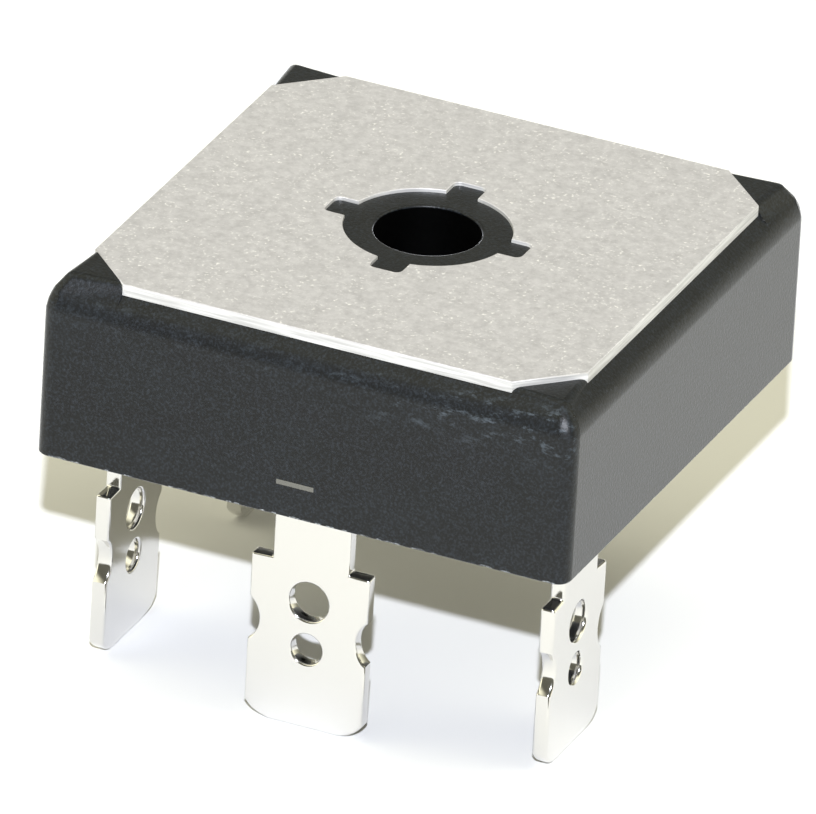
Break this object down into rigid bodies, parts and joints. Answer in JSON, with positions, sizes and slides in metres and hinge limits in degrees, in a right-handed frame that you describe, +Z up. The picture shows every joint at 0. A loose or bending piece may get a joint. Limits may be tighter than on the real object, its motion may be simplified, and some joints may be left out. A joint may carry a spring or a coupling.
{
  "type": "bridge rectifier",
  "caption": "Square moulded bridge rectifier with quick-connect tabs below, a metal base plate on top and a screw hole through the middle.",
  "frame": {"origin": "on the floor that the tabs stand on, under the axis of the screw hole", "axes": "+Z up along the screw hole, out of the base plate; +X along the side marked minus; -Y towards the minus side"},
  "size_m": [0.0286, 0.0286, 0.0222],
  "materials": {
    "epoxy": "fine matte black moulding compound, slightly mottled",
    "base_aluminium": "matte light grey with a fine sparkling grain, bright cut edge",
    "plated_tab": "smooth bright plating on stamped strip",
    "bond": "filled adhesive film",
    "alumina": "fired matte white",
    "copper": "plain rolled copper",
    "silicon": "dark grey silicon with a metallised face",
    "solder": "dull grey solder"
  },
  "bodies": {
    "root": {"moulded_case": "epoxy", "base_plate": "base_aluminium", "tile_bond": "bond", "ceramic_tile": "alumina", "minus_tab": "plated_tab", "plus_tab": "plated_tab", "ac_tab_left": "plated_tab", "ac_tab_right": "plated_tab", "minus_pad": "copper", "plus_pad": "copper", "ac_pad_left": "copper", "ac_pad_right": "copper", "chip_back_left": "silicon", "chip_back_right": "silicon", "chip_side_left": "silicon", "chip_side_right": "silicon", "chip_solder_back_left": "solder", "chip_solder_back_right": "solder", "chip_solder_side_left": "solder", "chip_solder_side_right": "solder", "dimple_solder_back_left": "solder", "dimple_solder_back_right": "solder", "dimple_solder_side_left": "solder", "dimple_solder_side_right": "solder", "ac_strap_left": "copper", "ac_strap_right": "copper", "minus_strap": "copper", "strap_solder_left": "solder", "strap_solder_right": "solder", "strap_solder_minus": "solder", "foot_solder_minus": "solder", "foot_solder_plus": "solder", "foot_solder_left": "solder", "foot_solder_right": "solder"}
  },
  "joints": []
}
